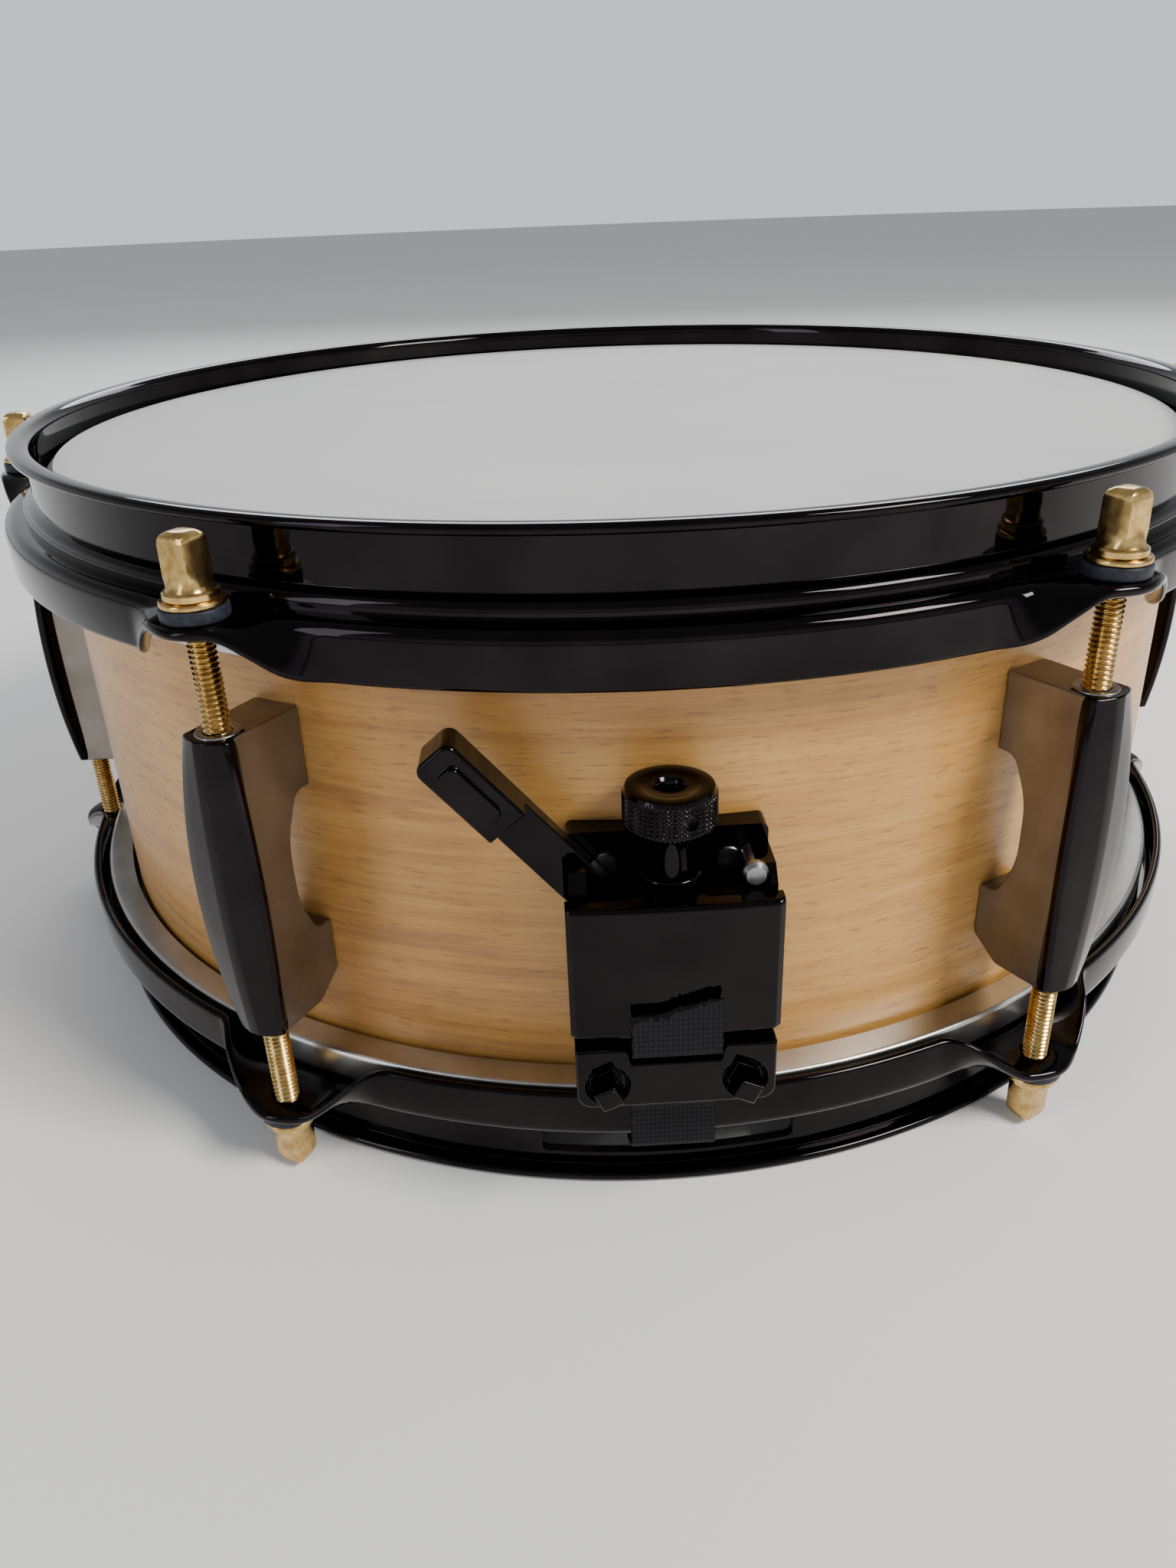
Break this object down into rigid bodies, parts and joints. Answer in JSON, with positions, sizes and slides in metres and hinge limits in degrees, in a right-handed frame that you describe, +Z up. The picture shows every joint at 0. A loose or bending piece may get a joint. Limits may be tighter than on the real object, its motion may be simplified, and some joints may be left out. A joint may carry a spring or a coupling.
{
  "type": "snare drum",
  "caption": "Small wooden snare drum with flanged metal hoops, bridge lugs, threaded tension rods, a side-throw strainer with a cranked slide, a butt plate and coiled snare wires.",
  "frame": {"origin": "on the drum's axis, in the plane of the lower hoop's rim, where the drum stands or rests on its basket", "axes": "+Z up along the drum's axis towards the batter head; -Y towards the strainer; +X to the right of someone who faces the strainer"},
  "size_m": [0.3524, 0.3532, 0.1472],
  "materials": {
    "maple_wood": "satin natural finish",
    "coated_film": "sprayed matt coating",
    "clear_film": "clear film",
    "satin_aluminium": "satin",
    "black_nickel": "polished dark nickel plating",
    "satin_nickel": "satin gunmetal",
    "gold_brass": "polished",
    "black_nylon": "moulded",
    "bright_steel": "zinc plated",
    "black_webbing": "woven",
    "snare_wire": "drawn wire"
  },
  "bodies": {
    "drum": {"shell": "maple_wood", "batter_head": "coated_film", "batter_flesh_hoop": "satin_aluminium", "snare_head": "clear_film", "snare_flesh_hoop": "satin_aluminium", "batter_hoop": "black_nickel", "snare_hoop": "black_nickel", "lug_casing_1": "black_nickel", "lug_casing_2": "black_nickel", "lug_casing_3": "black_nickel", "lug_casing_4": "black_nickel", "lug_casing_5": "black_nickel", "lug_casing_6": "black_nickel", "rod_nylon_washers": "black_nylon", "rod_metal_washers": "gold_brass", "lug_inserts": "bright_steel", "lug_screws": "bright_steel", "lug_screw_washers": "bright_steel", "strainer_base": "black_nickel", "lever_pivot_pin": "satin_nickel", "strainer_screws": "bright_steel", "butt_base": "black_nickel", "butt_screws": "bright_steel", "butt_clamp": "black_nickel", "butt_clamp_screws": "black_nickel", "butt_strap": "black_webbing", "vent_grommet": "gold_brass"},
    "lever": {"throw_off_lever": "black_nickel"},
    "slide": {"strainer_slide": "satin_nickel", "knob_collar": "satin_nickel"},
    "knob": {"adjusting_knob": "black_nickel", "knob_set_screw": "bright_steel"},
    "carrier": {"strainer_cover": "black_nickel", "strainer_clamp": "black_nickel", "strainer_clamp_screws": "black_nickel", "strainer_strap": "black_webbing"},
    "snares": {"snare_coils": "snare_wire", "snare_end_plate_front": "gold_brass", "snare_end_plate_back": "gold_brass"},
    "rod_top_1": {"tension_rod_top_1": "gold_brass"},
    "rod_bottom_1": {"tension_rod_bottom_1": "gold_brass"},
    "rod_top_2": {"tension_rod_top_2": "gold_brass"},
    "rod_bottom_2": {"tension_rod_bottom_2": "gold_brass"},
    "rod_top_3": {"tension_rod_top_3": "gold_brass"},
    "rod_bottom_3": {"tension_rod_bottom_3": "gold_brass"},
    "rod_top_4": {"tension_rod_top_4": "gold_brass"},
    "rod_bottom_4": {"tension_rod_bottom_4": "gold_brass"},
    "rod_top_5": {"tension_rod_top_5": "gold_brass"},
    "rod_bottom_5": {"tension_rod_bottom_5": "gold_brass"},
    "rod_top_6": {"tension_rod_top_6": "gold_brass"},
    "rod_bottom_6": {"tension_rod_bottom_6": "gold_brass"}
  },
  "joints": [
    {"name": "rod_top_1_turn", "type": "hinge", "parent": "drum", "child": "rod_top_1", "pos_m": [-0.0842, -0.14584, 0.13], "axis": [0, 0, 1], "range_deg": [-180, 180]},
    {"name": "rod_bottom_1_turn", "type": "hinge", "parent": "drum", "child": "rod_bottom_1", "pos_m": [-0.0842, -0.14584, 0.0172], "axis": [0, 0, 1], "range_deg": [-180, 180]},
    {"name": "rod_top_2_turn", "type": "hinge", "parent": "drum", "child": "rod_top_2", "pos_m": [0.0842, -0.14584, 0.13], "axis": [0, 0, 1], "range_deg": [-180, 180]},
    {"name": "rod_bottom_2_turn", "type": "hinge", "parent": "drum", "child": "rod_bottom_2", "pos_m": [0.0842, -0.14584, 0.0172], "axis": [0, 0, 1], "range_deg": [-180, 180]},
    {"name": "rod_top_3_turn", "type": "hinge", "parent": "drum", "child": "rod_top_3", "pos_m": [0.1684, 0, 0.13], "axis": [0, 0, 1], "range_deg": [-180, 180]},
    {"name": "rod_bottom_3_turn", "type": "hinge", "parent": "drum", "child": "rod_bottom_3", "pos_m": [0.1684, 0, 0.0172], "axis": [0, 0, 1], "range_deg": [-180, 180]},
    {"name": "rod_top_4_turn", "type": "hinge", "parent": "drum", "child": "rod_top_4", "pos_m": [0.0842, 0.14584, 0.13], "axis": [0, 0, 1], "range_deg": [-180, 180]},
    {"name": "rod_bottom_4_turn", "type": "hinge", "parent": "drum", "child": "rod_bottom_4", "pos_m": [0.0842, 0.14584, 0.0172], "axis": [0, 0, 1], "range_deg": [-180, 180]},
    {"name": "rod_top_5_turn", "type": "hinge", "parent": "drum", "child": "rod_top_5", "pos_m": [-0.0842, 0.14584, 0.13], "axis": [0, 0, 1], "range_deg": [-180, 180]},
    {"name": "rod_bottom_5_turn", "type": "hinge", "parent": "drum", "child": "rod_bottom_5", "pos_m": [-0.0842, 0.14584, 0.0172], "axis": [0, 0, 1], "range_deg": [-180, 180]},
    {"name": "rod_top_6_turn", "type": "hinge", "parent": "drum", "child": "rod_top_6", "pos_m": [-0.1684, 0, 0.13], "axis": [0, 0, 1], "range_deg": [-180, 180]},
    {"name": "rod_bottom_6_turn", "type": "hinge", "parent": "drum", "child": "rod_bottom_6", "pos_m": [-0.1684, 0, 0.0172], "axis": [0, 0, 1], "range_deg": [-180, 180]},
    {"name": "lever_throw", "type": "hinge", "parent": "drum", "child": "lever", "pos_m": [0, -0.159, 0.058], "axis": [0, -1, 0], "range_deg": [0, 70]},
    {"name": "throw_slide", "type": "slide", "parent": "drum", "child": "slide", "axis": [0, 0, -1], "range_m": [0, 0.0049], "deforming": ["strainer_strap"]},
    {"name": "knob_turn", "type": "hinge", "parent": "slide", "child": "knob", "pos_m": [0, -0.1614, 0.09], "axis": [0, 0, 1], "range_deg": [-720, 720]},
    {"name": "tension_adjust", "type": "slide", "parent": "slide", "child": "carrier", "axis": [0, 0, 1], "range_m": [-0.00142, 0.00142]},
    {"name": "snares_drop", "type": "slide", "parent": "drum", "child": "snares", "axis": [0, 0, -1], "range_m": [0, 0.00255], "deforming": ["butt_strap"]}
  ],
  "couplings": [
    {"joint": "throw_slide", "follows": "lever_throw", "m_per_rad": 0.0039436},
    {"joint": "tension_adjust", "follows": "knob_turn", "m_per_rad": -0.00011141},
    {"joint": "snares_drop", "follows": "lever_throw", "m_per_rad": 0.0020463}
  ]
}
